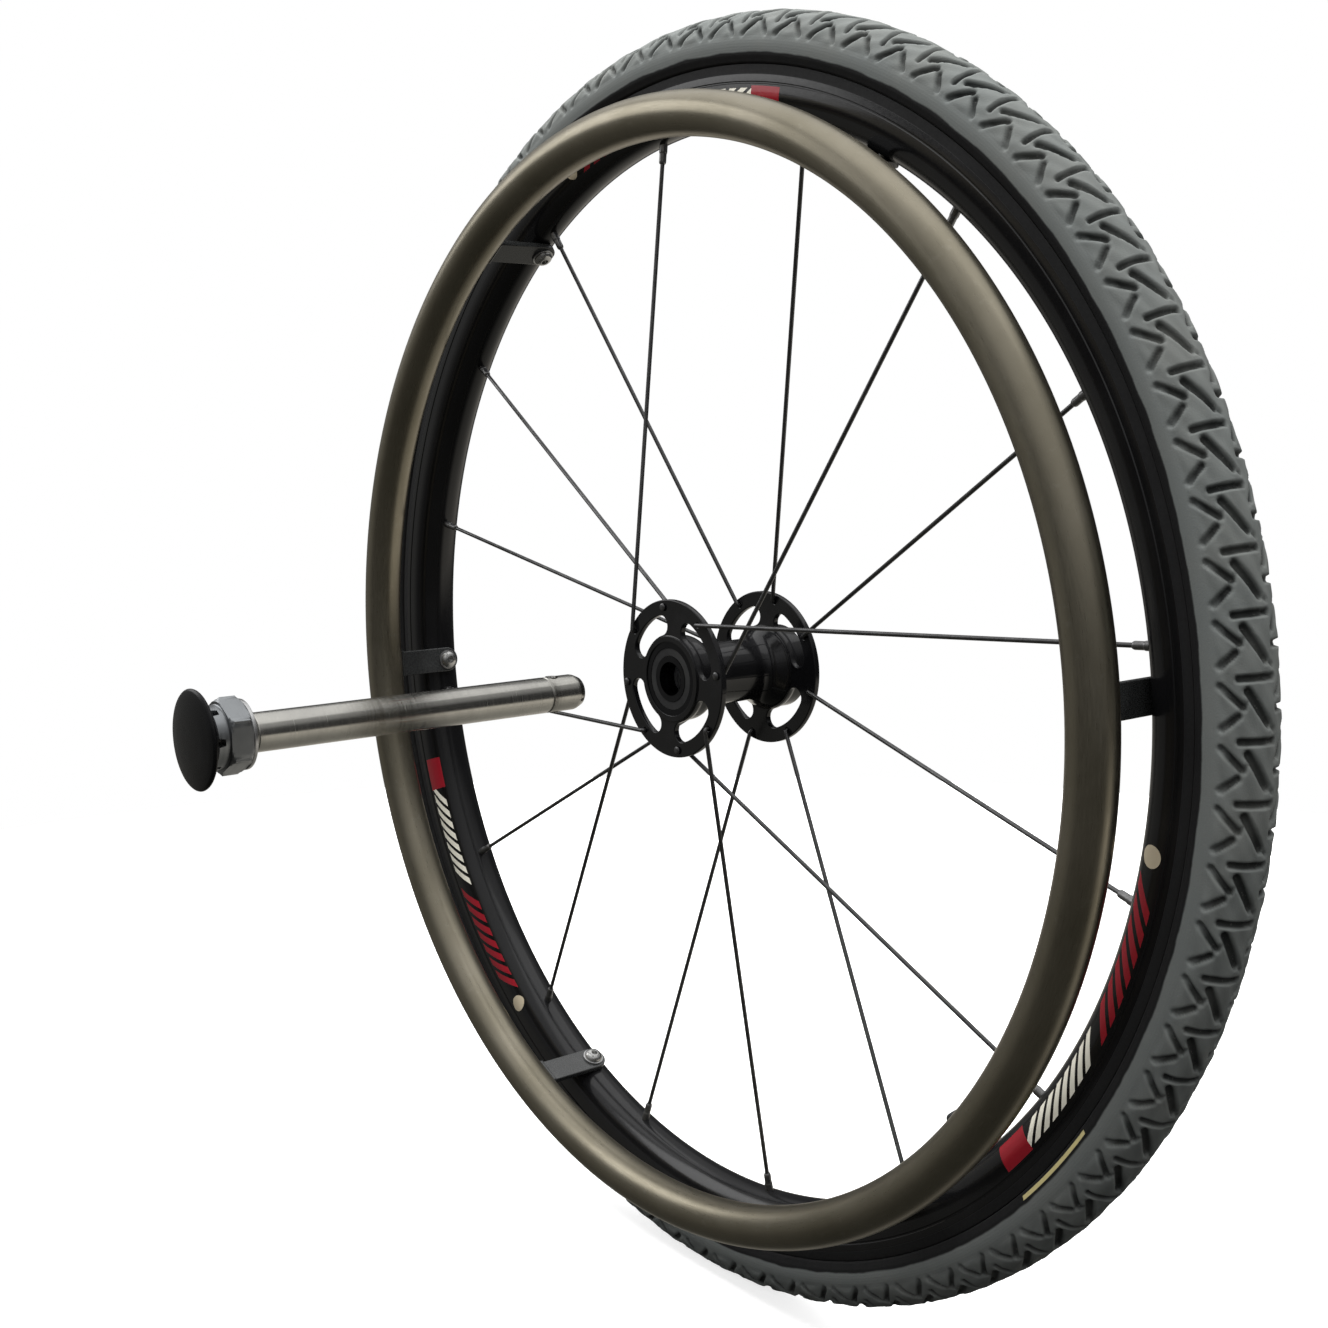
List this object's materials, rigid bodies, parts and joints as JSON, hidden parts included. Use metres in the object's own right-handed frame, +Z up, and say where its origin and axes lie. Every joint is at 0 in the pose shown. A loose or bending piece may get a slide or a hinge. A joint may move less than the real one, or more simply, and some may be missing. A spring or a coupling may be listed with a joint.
{
  "type": "wheelchair drive wheel",
  "caption": "Spoked wheelchair drive wheel with a knobby pneumatic tyre, deep black rim, handrim on tabs, flanged hub on ball bearings and a quick-release axle drawn out of the hub",
  "frame": {"origin": "on the hub's axis, in the rim's middle plane", "axes": "+Y along the axle from the handrim side to the chair side, which is also the way the axle goes in; +Z up; +X across the wheel"},
  "size_m": [0.5999, 0.305, 0.5998],
  "materials": {
    "tyre_rubber": "moulded grey rubber, matt",
    "tube_rubber": "dusty black rubber",
    "tape": "woven rim tape",
    "rim_black": "black gloss",
    "valve_metal": "brass",
    "valve_rubber": "black rubber over a metal stem",
    "cap_plastic": "black plastic",
    "spoke_black": "black stainless",
    "nipple_silver": "plain turned aluminium",
    "hub_black": "black anodised, glossy",
    "bearing_steel": "ground steel",
    "ball_steel": "polished steel",
    "cage_brass": "pressed brass",
    "seal_rubber": "moulded black rubber",
    "sleeve_aluminium": "turned",
    "handrim_grey": "satin warm grey",
    "tab_black": "satin black",
    "fastener_steel": "plated steel",
    "axle_steel": "ground stainless",
    "nut_grey": "plated, slightly dull",
    "spring_steel": "drawn wire"
  },
  "bodies": {
    "bearing_core": {"outboard_bearing_inner_race": "bearing_steel", "spacer_sleeve": "sleeve_aluminium", "inboard_bearing_inner_race": "bearing_steel"},
    "wheel": {"hub_shell": "hub_black", "outboard_bearing_outer_race": "bearing_steel", "outboard_bearing_seals": "seal_rubber", "inboard_bearing_outer_race": "bearing_steel", "inboard_bearing_seals": "seal_rubber", "spoke_01": "spoke_black", "spoke_02": "spoke_black", "spoke_03": "spoke_black", "spoke_04": "spoke_black", "spoke_05": "spoke_black", "spoke_06": "spoke_black", "spoke_07": "spoke_black", "spoke_08": "spoke_black", "spoke_09": "spoke_black", "spoke_10": "spoke_black", "spoke_11": "spoke_black", "spoke_12": "spoke_black", "spoke_13": "spoke_black", "spoke_14": "spoke_black", "spoke_15": "spoke_black", "spoke_16": "spoke_black", "nipples": "nipple_silver", "rim": "rim_black", "rim_tape": "tape", "inner_tube": "tube_rubber", "tyre": "tyre_rubber", "valve_stem": "valve_rubber", "valve_core": "valve_metal", "handrim": "handrim_grey", "handrim_tabs": "tab_black", "tab_washers": "fastener_steel", "tab_bolts": "fastener_steel", "tab_nuts": "fastener_steel"},
    "outboard_ball_set": {"outboard_bearing_balls": "ball_steel", "outboard_bearing_cage": "cage_brass"},
    "inboard_ball_set": {"inboard_bearing_balls": "ball_steel", "inboard_bearing_cage": "cage_brass"},
    "valve_pin_body": {"valve_pin": "valve_metal"},
    "valve_cap_body": {"valve_cap": "cap_plastic"},
    "axle": {"axle_shaft": "axle_steel", "nut_washer": "fastener_steel", "adjusting_nut": "nut_grey", "return_spring": "spring_steel"},
    "button": {"plunger_rod": "fastener_steel", "button_cap": "cap_plastic"},
    "upper_ball": {"upper_detent_ball": "ball_steel"},
    "lower_ball": {"lower_detent_ball": "ball_steel"}
  },
  "joints": [
    {"name": "wheel_spin", "type": "hinge", "parent": "bearing_core", "child": "wheel", "pos_m": [0, 0, 0], "axis": [0, 1, 0], "continuous": true},
    {"name": "outboard_balls_spin", "type": "hinge", "parent": "bearing_core", "child": "outboard_ball_set", "pos_m": [0, 0, 0], "axis": [0, 1, 0], "continuous": true},
    {"name": "inboard_balls_spin", "type": "hinge", "parent": "bearing_core", "child": "inboard_ball_set", "pos_m": [0, 0, 0], "axis": [0, 1, 0], "continuous": true},
    {"name": "axle_slide", "type": "slide", "parent": "bearing_core", "child": "axle", "axis": [0, 1, 0], "range_m": [0, 0.2124]},
    {"name": "button_press", "type": "slide", "parent": "axle", "child": "button", "axis": [0, -1, 0], "range_m": [0, 0.0045], "stiffness_N_per_m": 800, "springref_m": 0.0045},
    {"name": "upper_ball_lift", "type": "slide", "parent": "axle", "child": "upper_ball", "axis": [0, 0, 1], "range_m": [0, 0.00126]},
    {"name": "lower_ball_lift", "type": "slide", "parent": "axle", "child": "lower_ball", "axis": [0, 0, -1], "range_m": [0, 0.00126]},
    {"name": "valve_cap_lift", "type": "slide", "parent": "wheel", "child": "valve_cap_body", "axis": [-0.6788, 0, 0.7343], "range_m": [0, 0.014]},
    {"name": "valve_pin_press", "type": "slide", "parent": "wheel", "child": "valve_pin_body", "axis": [0.6788, 0, -0.7343], "range_m": [0, 0.0012], "stiffness_N_per_m": 800}
  ],
  "couplings": [
    {"joint": "outboard_balls_spin", "follows": "wheel_spin", "ratio": 0.59355},
    {"joint": "inboard_balls_spin", "follows": "wheel_spin", "ratio": 0.59355},
    {"joint": "upper_ball_lift", "follows": "button_press", "ratio": 0.27778},
    {"joint": "lower_ball_lift", "follows": "button_press", "ratio": 0.27778}
  ]
}
